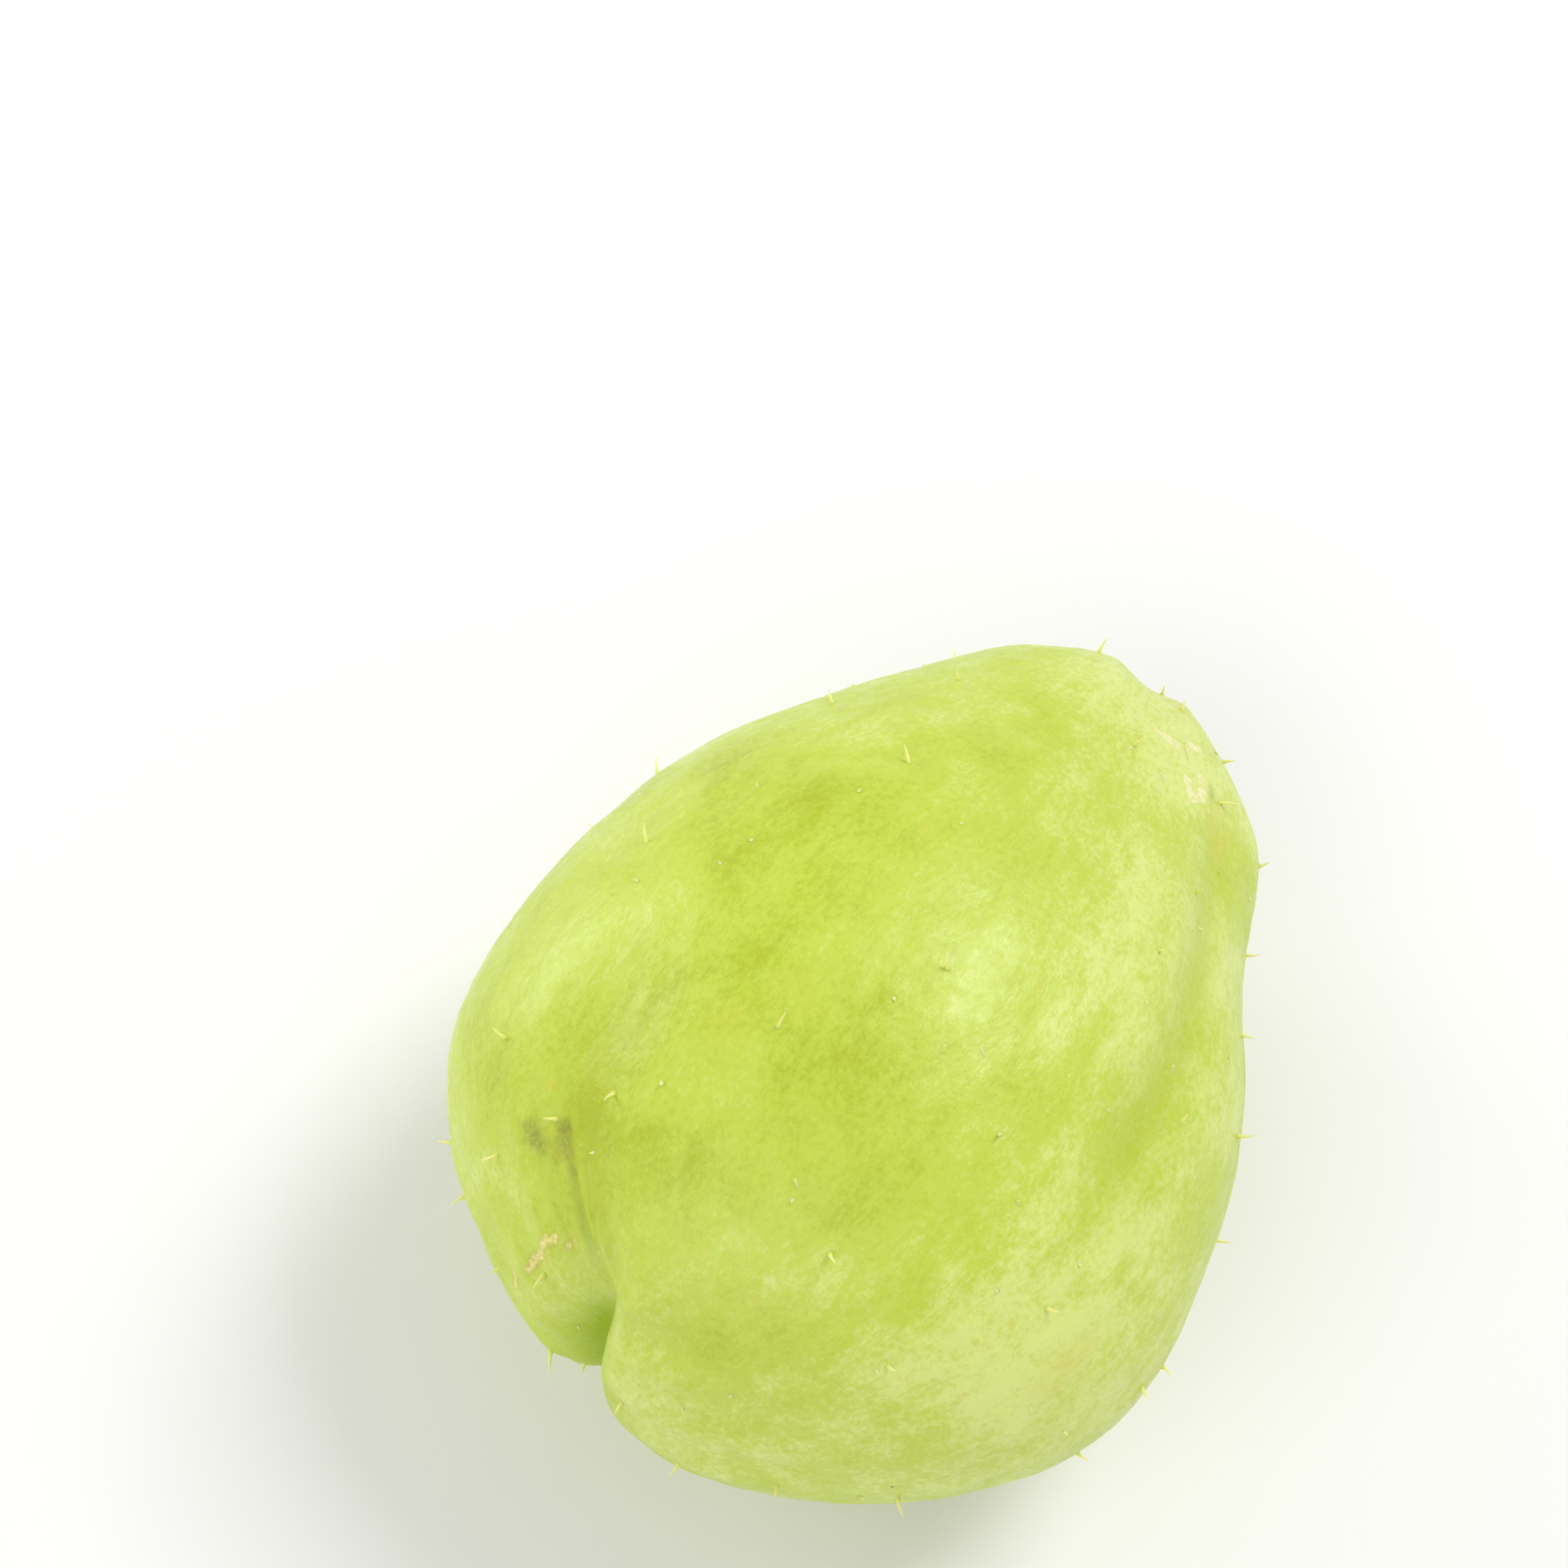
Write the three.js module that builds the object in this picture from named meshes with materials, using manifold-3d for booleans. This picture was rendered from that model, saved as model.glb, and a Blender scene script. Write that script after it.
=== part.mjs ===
// A chayote squash lying on its side, in millimetres, +Z up.
//
// The fruit is one solid. Its skin is a sphere whose points are moved by formulas: a pear profile first,
// then relief measured along the line from the fruit's middle - the mouth with its two lips, long shallow
// furrows, swellings, the stem dimple and fine puckers. Soft prickles grow out of the skin.
//
// The long axis is X: the mouth (blossom end) is at -X and the stem end at +X. A direction from the middle
// is told by three numbers: along (-1 mouth, +1 stem), across (towards +Y) and up (towards +Z).
import * as THREE from 'three';
import { mergeVertices } from 'three/addons/utils/BufferGeometryUtils.js';
import Module from 'manifold-3d';

// Driving dimensions of the pear
const LENGTH = 107;            // end to end, before the dimples are pressed in
const WIDTH = 82.5;            // side to side at the middle of the length
const HEIGHT = 68;             // top to bottom at the middle of the length
const TAPER = 0.23;            // share of girth moved from the stem half to the mouth half
const FULLNESS = 0.037;        // share of girth lost towards both ends
const NECK = { pinch: 0.064, along: 0.62, spread: 0.28 };
const BOW = 0.2;               // the ends lie this far towards +Y of the middle
const SWAY = 1.3;              // the stem end lies this far towards +Y, the mouth end towards -Y

// The mouth: a slit beside the pole, wavering a little and curving into a furrow as it climbs. Each pair
// of numbers is where a part of the slit starts to be felt and where it is felt in full.
const MOUTH = {
  across: 0.105,               // where the slit runs
  bendFrom: 0.38, bendRate: 2.4, bendPower: 1.6,
  waver: 0.01, waverRate: 8, waverStart: 0.6,
  depth: 5, leftWall: 0.055, rightWall: 0.035, wallPower: 1.5,
  bottom: [-0.5, -0.25], top: [0.55, 0.13], nose: [-0.7, -0.88],
  valleyDepth: 1, valleyWidth: 0.12,
  valleyBottom: [-0.75, -0.4], valleyTop: [0.85, 0.5], valleyNose: [-0.45, -0.85],
};
const LIP_LEFT = { height: -0.6, across: 0.26, up: 0.05, width: 0.2, reach: 0.45 };
const LIP_RIGHT = { height: 0.65, across: -0.24, up: -0.15, width: 0.2, reach: 0.45 };
const LIP_NOSE = [-0.5, -0.85];

// Long furrows: turn is measured from +Z towards +Y
const FURROWS = [
  { turn: 29, depth: 1.3, width: 0.15, from: -1, to: -0.2 },
  { turn: -6, depth: 0.45, width: 0.2, from: -0.85, to: -0.1 },
  { turn: -50, depth: 1.3, width: 0.12, from: -0.35, to: 0.85 },
  { turn: -122, depth: 2.1, width: 0.16, from: -0.8, to: 0.7 },
  { turn: 168, depth: 1.5, width: 0.18, from: -0.8, to: 0.6 },
  { turn: 96, depth: 2.1, width: 0.17, from: -0.8, to: 0.75 },
];
const FURROW_FADE_IN = 0.3;
const FURROW_FADE_OUT = 0.4;
const FURROW_EDGE = 0.25;

// Broad swellings and dents, each over an oval patch
const SWELLINGS = [
  { height: -1.15, along: 0.45, turn: -74, length: 0.15, girth: 0.3 },
  { height: 1.7, along: 0.72, turn: -82, length: 0.14, girth: 0.3 },
  { height: -0.35, along: 0.9, turn: -20, length: 0.08, girth: 0.22 },
  { height: 2.4, along: -0.6, turn: 80, length: 0.25, girth: 0.45 },
  { height: 2.5, along: -0.42, turn: -100, length: 0.28, girth: 0.4 },
  { height: 0.9, along: 0.12, turn: 176, length: 0.24, girth: 0.4 },
];

// The stem end: a dimple with five folds running into it, and the round scar left by the stalk
const STEM = {
  dimpleDepth: 3.2, dimpleRadius: 0.2,
  folds: 5, foldDepth: 1.2, foldRadius: 0.28, foldWidth: 0.16, foldTurn: 0.6,
  scarHeight: 1.1, scarRadius: 0.07, scarPower: 4,
};

// Slow lumps over the whole skin
const LUMPS = [
  { height: 0.3, waves: 3, twist: 2.1, start: 0.5, alongRate: 2.3, alongStart: 0.4, power: 1 },
  { height: 0.2, waves: 5, twist: -3.2, start: 1.7, alongRate: 0, alongStart: 0, power: 2 },
];

// Puckers that cross the mouth's lips and fan out at the slit's two ends
const PUCKERS = {
  height: 0.32, waves: 17, middle: 0.02, half: 0.45,
  near: [0.05, 0.16], far: [0.62, 0.25], nose: [-0.45, -0.85],
  sideShift: 1.1, sideWidth: 0.1, secondHeight: 0.5, secondWaves: 10.3, secondStart: 2,
};

// How the fruit lies: the flat spot is this far below the long axis, and the box centre is this far off it
const FLOOR_BELOW_AXIS = 33.4;
const BOX_CENTRE = { x: -1.85, y: -1.315 };

// Prickles, at their true size: the larger ones by hand, then the rest by rule where there is room
const PRICKLES = {
  seats: 82, seed: 1249, goldenTurn: Math.PI * (3 - Math.sqrt(5)),
  alongJitter: 0.02, turnJitter: 0.55,
  length: 1.8, lengthSpread: 0.7, skinRadius: 0.25, sunk: 1.6, sides: 3, lean: 0.45,
  stemClear: 0.97, mouthClear: 0.09, floorClear: 7, apart: 9,
};
const LARGER_PRICKLES = [
  { along: 0.931, turn: 31.5, length: 2.1 }, { along: 0.942, turn: -19.5, length: 1.4 },
  { along: 0.909, turn: -30.5, length: 1.3 }, { along: 0.876, turn: -62.7, length: 1.6 },
  { along: 0.709, turn: -81, length: 1.4 }, { along: 0.354, turn: -75.2, length: 1.6 },
  { along: -0.264, turn: -93.5, length: 1.4 }, { along: -0.337, turn: -89, length: 1.4 },
  { along: -0.483, turn: -97.8, length: 1.6 }, { along: -0.912, turn: 91, length: 1.3 },
  { along: -0.964, turn: 122, length: 2.4 }, { along: -0.962, turn: 142, length: 1.2 },
  { along: -0.985, turn: -110, length: 1.7 }, { along: -0.631, turn: 23.5, length: 2 },
  { along: -0.711, turn: 35, length: 1.5 }, { along: -0.57, turn: 15.5, length: 1 },
  { along: -0.82, turn: 90.2, length: 1.7 }, { along: -0.747, turn: 86, length: 1.7 },
  { along: -0.706, turn: -44.2, length: 1.1 }, { along: 0.271, turn: -37.7, length: 1 },
];

// The mesh
const RAYS = 96;
const RINGS = 46;
const RING_CROWDING = 0.25;    // rings crowd towards the two ends, where the relief is finest

// How the outward direction is found: a step over the skin, and a line that no direction is seen along
const NORMAL_STEP = 0.01;
const SIDE_LINE = new THREE.Vector3(0.3, 0.5, 0.8);

// A Lehmer sequence
const DRAW_FACTOR = 16807;
const DRAW_RANGE = 2147483647;

const radians = THREE.MathUtils.degToRad;

// 0 at from, 1 at to, smooth between
function ease(from, to, value) {
  return THREE.MathUtils.smoothstep((value - from) / (to - from), 0, 1);
}

// 1 in the middle, falling off smoothly
function bell(distance, width) {
  return Math.exp(-((distance / width) ** 2));
}

function girthAt(along) {
  const round = Math.sqrt(Math.max(0, 1 - along * along));
  const pear = 1 - TAPER * along - FULLNESS * along * along;
  return round * pear * (1 - NECK.pinch * bell(along - NECK.along, NECK.spread));
}

function directionAt(along, round, turn) {
  return new THREE.Vector3(along, round * Math.sin(turn), round * Math.cos(turn));
}

// Signed distance from the line of the slit
function besideMouth(across, up) {
  const bend = MOUTH.bendRate * Math.max(0, up - MOUTH.bendFrom) ** MOUTH.bendPower;
  const waver = MOUTH.waver * Math.sin(MOUTH.waverRate * up + MOUTH.waverStart);
  return across - MOUTH.across - bend - waver;
}

function mouthRelief(along, across, up) {
  const beside = besideMouth(across, up);
  const wall = beside > 0 ? MOUTH.leftWall : MOUTH.rightWall;
  const slitLength = ease(...MOUTH.bottom, up) * ease(...MOUTH.top, up) * ease(...MOUTH.nose, along);
  const slit = MOUTH.depth * slitLength * Math.exp(-(Math.abs(beside / wall) ** MOUTH.wallPower));
  const valleyLength = ease(...MOUTH.valleyBottom, up) * ease(...MOUTH.valleyTop, up)
    * ease(...MOUTH.valleyNose, along);
  return -slit - MOUTH.valleyDepth * valleyLength * bell(beside, MOUTH.valleyWidth);
}

function lipRelief(lip, along, across, up) {
  const nose = ease(...LIP_NOSE, along);
  const beside = besideMouth(across, up);
  return lip.height * nose * bell(beside - lip.across, lip.width) * bell(up - lip.up, lip.reach);
}

function furrowRelief(furrow, along, across, up) {
  const turn = radians(furrow.turn);
  const aside = across * Math.cos(turn) - up * Math.sin(turn);
  const outward = across * Math.sin(turn) + up * Math.cos(turn);
  const length = ease(furrow.from, furrow.from + FURROW_FADE_IN, along)
    * ease(furrow.to, furrow.to - FURROW_FADE_OUT, along);
  return -furrow.depth * length * bell(aside, furrow.width) * ease(0, FURROW_EDGE, outward);
}

function swellingRelief(swelling, along, round, turn) {
  const away = turn - radians(swelling.turn);
  const aside = round * Math.atan2(Math.sin(away), Math.cos(away));
  return swelling.height * bell(along - swelling.along, swelling.length) * bell(aside, swelling.girth);
}

function stemRelief(along, round, turn) {
  if (along < 0) {
    return 0;
  }
  const folds = (0.5 + 0.5 * Math.cos(STEM.folds * turn + STEM.foldTurn)) * ease(0, STEM.foldRadius, round);
  return STEM.scarHeight * Math.exp(-((round / STEM.scarRadius) ** STEM.scarPower))
    - STEM.dimpleDepth * bell(round, STEM.dimpleRadius)
    - STEM.foldDepth * bell(round - STEM.foldRadius, STEM.foldWidth) * folds;
}

function lumpRelief(lump, along, round, turn) {
  return lump.height * Math.sin(lump.waves * turn + lump.twist * along + lump.start)
    * Math.cos(lump.alongRate * along + lump.alongStart) * round ** lump.power;
}

// Puckers follow lines that leave the slit square and bend round its ends
function puckerRelief(along, across, up) {
  const beside = besideMouth(across, up);
  const toTop = Math.hypot(beside, up - PUCKERS.middle - PUCKERS.half);
  const toBottom = Math.hypot(beside, up - PUCKERS.middle + PUCKERS.half);
  const fan = Math.acos(THREE.MathUtils.clamp((toBottom - toTop) / (2 * PUCKERS.half), -1, 1));
  const away = Math.sqrt(Math.max(0, (toTop + toBottom) / 2 - PUCKERS.half));
  const reach = ease(...PUCKERS.near, away) * ease(...PUCKERS.far, away) * ease(...PUCKERS.nose, along);
  const shift = PUCKERS.sideShift * Math.tanh(beside / PUCKERS.sideWidth);
  const wave = Math.sin(PUCKERS.waves * fan + shift)
    + PUCKERS.secondHeight * Math.sin(PUCKERS.secondWaves * fan + PUCKERS.secondStart - shift);
  return PUCKERS.height * reach * wave;
}

// The skin point in a direction from the middle, a unit vector (along, across, up)
function skinPoint(direction) {
  const { x: along, y: across, z: up } = direction;
  const round = Math.hypot(across, up);
  const turn = Math.atan2(across, up);
  const girth = girthAt(along);
  const point = new THREE.Vector3(
    (LENGTH / 2) * along,
    (WIDTH / 2) * girth * Math.sin(turn),
    (HEIGHT / 2) * girth * Math.cos(turn),
  );
  let relief = mouthRelief(along, across, up);
  relief += lipRelief(LIP_LEFT, along, across, up) + lipRelief(LIP_RIGHT, along, across, up);
  relief += stemRelief(along, round, turn) + puckerRelief(along, across, up);
  for (const furrow of FURROWS) {
    relief += furrowRelief(furrow, along, across, up);
  }
  for (const swelling of SWELLINGS) {
    relief += swellingRelief(swelling, along, round, turn);
  }
  for (const lump of LUMPS) {
    relief += lumpRelief(lump, along, round, turn);
  }
  point.multiplyScalar(1 + relief / point.length());
  point.x -= BOX_CENTRE.x;
  point.y += BOW * along * along + SWAY * along - BOX_CENTRE.y;
  point.z += FLOOR_BELOW_AXIS;
  return point;
}

// The fruit without its prickles: every point below the surface it lies on is pressed flat
function makeSkin() {
  const sphere = new THREE.SphereGeometry(1, RAYS, RINGS);
  const corners = sphere.attributes.position;
  for (let i = 0; i < corners.count; i += 1) {
    const even = Math.acos(THREE.MathUtils.clamp(corners.getY(i), -1, 1));
    const polar = even - RING_CROWDING * Math.sin(2 * even);
    const turn = Math.atan2(corners.getZ(i), corners.getX(i));
    const round = Math.sin(polar);
    const point = skinPoint(directionAt(Math.cos(polar), round, turn));
    corners.setXYZ(i, point.x, point.y, Math.max(0, point.z));
  }
  return sphere;
}

// Outward direction of the skin, from two small steps over it
function skinNormal(direction) {
  const first = new THREE.Vector3().crossVectors(direction, SIDE_LINE).normalize();
  const second = new THREE.Vector3().crossVectors(direction, first);
  const stepAlong = (tangent) => {
    const ahead = direction.clone().addScaledVector(tangent, NORMAL_STEP).normalize();
    const behind = direction.clone().addScaledVector(tangent, -NORMAL_STEP).normalize();
    return skinPoint(ahead).sub(skinPoint(behind));
  };
  return stepAlong(first).cross(stepAlong(second)).normalize();
}

// The same draw every time, between 0 and 1
function makeDraw(seed) {
  let state = seed;
  return () => {
    state = (state * DRAW_FACTOR) % DRAW_RANGE;
    return state / DRAW_RANGE;
  };
}

function seatAt(direction, length, draw) {
  return {
    foot: skinPoint(direction),
    outward: skinNormal(direction),
    length,
    leanTurn: 2 * Math.PI * draw(),
    lean: PRICKLES.lean * draw(),
  };
}

// Where prickles grow: the larger ones, then a golden-angle spiral from end to end, a little disturbed,
// that leaves room around each
function prickleSeats() {
  const draw = makeDraw(PRICKLES.seed);
  const jitter = (reach) => reach * (2 * draw() - 1);
  const seats = LARGER_PRICKLES.map((larger) => {
    const round = Math.sqrt(1 - larger.along * larger.along);
    return seatAt(directionAt(larger.along, round, radians(larger.turn)), larger.length, draw);
  });
  for (let i = 0; i < PRICKLES.seats; i += 1) {
    const share = (i + 0.5) / PRICKLES.seats + jitter(PRICKLES.alongJitter);
    const along = Math.cos(Math.PI * share);
    const turn = i * PRICKLES.goldenTurn + jitter(PRICKLES.turnJitter);
    const direction = directionAt(along, Math.sqrt(1 - along * along), turn);
    const seat = seatAt(direction, PRICKLES.length + jitter(PRICKLES.lengthSpread), draw);
    const inMouth = along < 0 && Math.abs(besideMouth(direction.y, direction.z)) < PRICKLES.mouthClear;
    const crowded = seats.some((other) => other.foot.distanceTo(seat.foot) < PRICKLES.apart);
    if (along < PRICKLES.stemClear && !inMouth && !crowded && seat.foot.z > PRICKLES.floorClear) {
      seats.push(seat);
    }
  }
  return seats;
}

// One prickle: a slim three-sided cone with its root sunk into the flesh
function makePrickle(seat) {
  const whole = seat.length + PRICKLES.sunk;
  const rootRadius = (PRICKLES.skinRadius * whole) / seat.length;
  const cone = new THREE.ConeGeometry(rootRadius, whole, PRICKLES.sides);
  cone.translate(0, whole / 2 - PRICKLES.sunk, 0);
  const sideways = new THREE.Vector3(1, 0, 0).cross(seat.outward).normalize();
  sideways.applyAxisAngle(seat.outward, seat.leanTurn);
  const direction = seat.outward.clone().addScaledVector(sideways, seat.lean).normalize();
  cone.applyQuaternion(new THREE.Quaternion().setFromUnitVectors(new THREE.Vector3(0, 1, 0), direction));
  cone.translate(seat.foot.x, seat.foot.y, seat.foot.z);
  return cone;
}

const wasm = await Module();
wasm.setup();

function toSolid(geometry) {
  geometry.deleteAttribute('normal');
  geometry.deleteAttribute('uv');
  const merged = mergeVertices(geometry);
  return new wasm.Manifold(new wasm.Mesh({
    numProp: 3,
    vertProperties: new Float32Array(merged.attributes.position.array),
    triVerts: new Uint32Array(merged.index.array),
  }));
}

function toGeometry(solid) {
  const mesh = solid.getMesh();
  const geometry = new THREE.BufferGeometry();
  geometry.setAttribute('position', new THREE.BufferAttribute(mesh.vertProperties, 3));
  geometry.setIndex(new THREE.BufferAttribute(mesh.triVerts, 1));
  geometry.computeVertexNormals();
  return geometry;
}

function makeChayote() {
  let fruit = toSolid(makeSkin());
  for (const seat of prickleSeats()) {
    fruit = fruit.add(toSolid(makePrickle(seat)));
  }
  const skin = new THREE.MeshStandardMaterial({ color: 0xc3d870, roughness: 0.45, metalness: 0 });
  const chayote = new THREE.Mesh(toGeometry(fruit), skin);
  chayote.name = 'chayote';
  return chayote;
}

const squash = new THREE.Group();
squash.add(makeChayote());

export default squash;
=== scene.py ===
"""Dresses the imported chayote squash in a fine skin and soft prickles, on a pale floor."""

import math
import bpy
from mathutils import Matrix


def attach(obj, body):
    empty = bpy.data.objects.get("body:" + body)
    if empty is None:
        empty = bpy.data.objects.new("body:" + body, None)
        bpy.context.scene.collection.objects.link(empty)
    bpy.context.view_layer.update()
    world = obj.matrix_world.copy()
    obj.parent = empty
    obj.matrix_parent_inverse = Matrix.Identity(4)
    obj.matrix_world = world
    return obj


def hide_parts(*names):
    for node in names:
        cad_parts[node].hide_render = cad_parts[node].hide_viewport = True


bl_info = {
    "name": "Chayote Squash",
    "version": (1, 0, 0),
    "blender": (4, 5, 0),
    "location": "3D View > Sidebar > Chayote",
    "description": "Makes a chayote squash around its packed part",
    "category": "Add Mesh",
}

import bpy
import numpy as np
from bpy.props import FloatProperty, FloatVectorProperty, IntProperty, PointerProperty
from mathutils import Matrix, Vector, noise

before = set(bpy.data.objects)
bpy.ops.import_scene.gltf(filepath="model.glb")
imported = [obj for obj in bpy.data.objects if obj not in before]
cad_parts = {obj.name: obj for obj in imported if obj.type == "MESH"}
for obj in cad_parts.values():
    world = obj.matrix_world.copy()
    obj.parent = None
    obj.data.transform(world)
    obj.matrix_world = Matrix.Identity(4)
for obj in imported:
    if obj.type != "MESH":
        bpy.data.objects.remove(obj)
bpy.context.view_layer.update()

MM = 0.001
NODE = "chayote"

# ---- the fruit's form, as the part has it
# A direction from the fruit's middle is told by along (-1 mouth, +1 stem), across (+Y) and up (+Z).

LENGTH, WIDTH, HEIGHT = 107 * MM, 82.5 * MM, 68 * MM
TAPER = 0.23
FULLNESS = 0.037
NECK = dict(pinch=0.064, along=0.62, spread=0.28)
BOW = 0.2 * MM
SWAY = 1.3 * MM

# The mouth's slit. Each pair of numbers is where a part of it begins and where it is felt in full.
MOUTH = dict(
    across=0.105,
    bend_from=0.38, bend_rate=2.4, bend_power=1.6,
    waver=0.01, waver_rate=8, waver_start=0.6,
    depth=5 * MM, left_wall=0.055, right_wall=0.035, wall_power=1.5,
    bottom=(-0.5, -0.25), top=(0.55, 0.13), nose=(-0.7, -0.88),
    valley_depth=1 * MM, valley_width=0.12,
    valley_bottom=(-0.75, -0.4), valley_top=(0.85, 0.5), valley_nose=(-0.45, -0.85),
)
LIP_LEFT = dict(height=-0.6 * MM, across=0.26, up=0.05, width=0.2, reach=0.45)
LIP_RIGHT = dict(height=0.65 * MM, across=-0.24, up=-0.15, width=0.2, reach=0.45)
LIP_NOSE = (-0.5, -0.85)

# Long furrows: turn in degrees from +Z towards +Y, depth in mm, width, where along they start and end
FURROWS = (
    (29, 1.3, 0.15, -1, -0.2),
    (-6, 0.45, 0.2, -0.85, -0.1),
    (-50, 1.3, 0.12, -0.35, 0.85),
    (-122, 2.1, 0.16, -0.8, 0.7),
    (168, 1.5, 0.18, -0.8, 0.6),
    (96, 2.1, 0.17, -0.8, 0.75),
)
FURROW_FADE_IN, FURROW_FADE_OUT, FURROW_EDGE = 0.3, 0.4, 0.25

# Broad swellings and dents: height in mm, along, turn in degrees, half length, half girth
SWELLINGS = (
    (-1.15, 0.45, -74, 0.15, 0.3),
    (1.7, 0.72, -82, 0.14, 0.3),
    (-0.35, 0.9, -20, 0.08, 0.22),
    (2.4, -0.6, 80, 0.25, 0.45),
    (2.5, -0.42, -100, 0.28, 0.4),
    (0.9, 0.12, 176, 0.24, 0.4),
)

STEM = dict(
    dimple_depth=3.2 * MM, dimple_radius=0.2,
    folds=5, fold_depth=1.2 * MM, fold_radius=0.28, fold_width=0.16, fold_turn=0.6,
    scar_height=1.1 * MM, scar_radius=0.07, scar_power=4,
)

# Slow lumps: height in mm, waves around, twist, start, rate and start along, power of the girth
LUMPS = (
    (0.3, 3, 2.1, 0.5, 2.3, 0.4, 1),
    (0.2, 5, -3.2, 1.7, 0, 0, 2),
)

# Puckers over the lips, fanned out round the slit's two ends
PUCKERS = dict(
    height=0.32 * MM, waves=17, middle=0.02, half=0.45,
    near=(0.05, 0.16), far=(0.62, 0.25), nose=(-0.45, -0.85),
    side_shift=1.1, side_width=0.1, second_height=0.5, second_waves=10.3, second_start=2,
)

MIDDLE = Vector((1.85 * MM, 1.315 * MM, 33.4 * MM))    # the fruit's middle, over the floor

PRICKLES = dict(
    seats=82, seed=1249, golden_turn=math.pi * (3 - math.sqrt(5)),
    along_jitter=0.02, turn_jitter=0.55,
    length=1.8 * MM, length_spread=0.7 * MM, lean=0.45,
    stem_clear=0.97, mouth_clear=0.09, floor_clear=7 * MM, apart=9 * MM,
)

# The larger prickles: along, turn in degrees, length in mm
PLACED = (
    (0.931, 31.5, 2.1), (0.942, -19.5, 1.4), (0.909, -30.5, 1.3), (0.876, -62.7, 1.6),
    (0.709, -81, 1.4), (0.354, -75.2, 1.6), (-0.264, -93.5, 1.4), (-0.337, -89, 1.4),
    (-0.483, -97.8, 1.6), (-0.912, 91, 1.3), (-0.964, 122, 2.4), (-0.962, 142, 1.2),
    (-0.985, -110, 1.7), (-0.631, 23.5, 2), (-0.711, 35, 1.5), (-0.57, 15.5, 1),
    (-0.82, 90.2, 1.7), (-0.747, 86, 1.7), (-0.706, -44.2, 1.1), (0.271, -37.7, 1),
)


def ease(start, end, value):
    """0 at start, 1 at end, smooth between."""
    t = np.clip((value - start) / (end - start), 0, 1)
    return t * t * (3 - 2 * t)


def bell(distance, width):
    """1 in the middle, falling off smoothly."""
    return np.exp(-((distance / width) ** 2))


def unit(vectors):
    """The vectors at length 1."""
    return vectors / np.linalg.norm(vectors, axis=-1, keepdims=True)


def girth_at(along):
    """The pear's share of its full girth."""
    ring = np.sqrt(np.maximum(0, 1 - along * along))
    pear = 1 - TAPER * along - FULLNESS * along * along
    return ring * pear * (1 - NECK["pinch"] * bell(along - NECK["along"], NECK["spread"]))


def beside_mouth(across, up):
    """Signed distance from the line of the slit."""
    bend = MOUTH["bend_rate"] * np.maximum(0, up - MOUTH["bend_from"]) ** MOUTH["bend_power"]
    waver = MOUTH["waver"] * np.sin(MOUTH["waver_rate"] * up + MOUTH["waver_start"])
    return across - MOUTH["across"] - bend - waver


def slit_share(along, across, up):
    """1 along the bottom of the slit, 0 off it."""
    beside = beside_mouth(across, up)
    wall = np.where(beside > 0, MOUTH["left_wall"], MOUTH["right_wall"])
    reach = ease(*MOUTH["bottom"], up) * ease(*MOUTH["top"], up) * ease(*MOUTH["nose"], along)
    return reach * np.exp(-(np.abs(beside / wall) ** MOUTH["wall_power"]))


def valley_share(along, across, up):
    """How deep in the slit's valley a point is, from 0 to 1."""
    reach = ease(*MOUTH["valley_bottom"], up) * ease(*MOUTH["valley_top"], up)
    reach = reach * ease(*MOUTH["valley_nose"], along)
    return reach * bell(beside_mouth(across, up), MOUTH["valley_width"])


def mouth_relief(along, across, up):
    """The slit and its valley."""
    slit, valley = slit_share(along, across, up), valley_share(along, across, up)
    return -MOUTH["depth"] * slit - MOUTH["valley_depth"] * valley


def lip_relief(lip, along, across, up):
    """One rounded lip beside the mouth."""
    beside = beside_mouth(across, up)
    reach = ease(*LIP_NOSE, along) * bell(up - lip["up"], lip["reach"])
    return lip["height"] * reach * bell(beside - lip["across"], lip["width"])


def furrow_share(furrow, along, across, up):
    """How far into one long furrow a point is, from 0 to 1."""
    turn = math.radians(furrow[0])
    width, start, end = furrow[2:]
    aside = across * math.cos(turn) - up * math.sin(turn)
    outward = across * math.sin(turn) + up * math.cos(turn)
    reach = ease(start, start + FURROW_FADE_IN, along) * ease(end, end - FURROW_FADE_OUT, along)
    return reach * bell(aside, width) * ease(0, FURROW_EDGE, outward)


def swelling_relief(swelling, along, ring, turn):
    """One broad swelling, or a dent where its height is negative."""
    height, at_along, at_turn, half_length, half_girth = swelling
    away = turn - math.radians(at_turn)
    aside = ring * np.arctan2(np.sin(away), np.cos(away))
    return height * bell(along - at_along, half_length) * bell(aside, half_girth)


def stem_relief(along, ring, turn):
    """The dimple at the stem end, its folds and the scar of the stalk."""
    folds = 0.5 + 0.5 * np.cos(STEM["folds"] * turn + STEM["fold_turn"])
    folds = folds * ease(0, STEM["fold_radius"], ring)
    folds = folds * bell(ring - STEM["fold_radius"], STEM["fold_width"])
    relief = STEM["scar_height"] * np.exp(-((ring / STEM["scar_radius"]) ** STEM["scar_power"]))
    relief = relief - STEM["dimple_depth"] * bell(ring, STEM["dimple_radius"])
    relief = relief - STEM["fold_depth"] * folds
    return np.where(along < 0, 0, relief)


def lump_relief(lump, along, ring, turn):
    """Slow lumps over the whole skin."""
    height, waves, twist, start, along_rate, along_start, power = lump
    wave = np.sin(waves * turn + twist * along + start) * np.cos(along_rate * along + along_start)
    return height * wave * ring ** power


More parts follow.
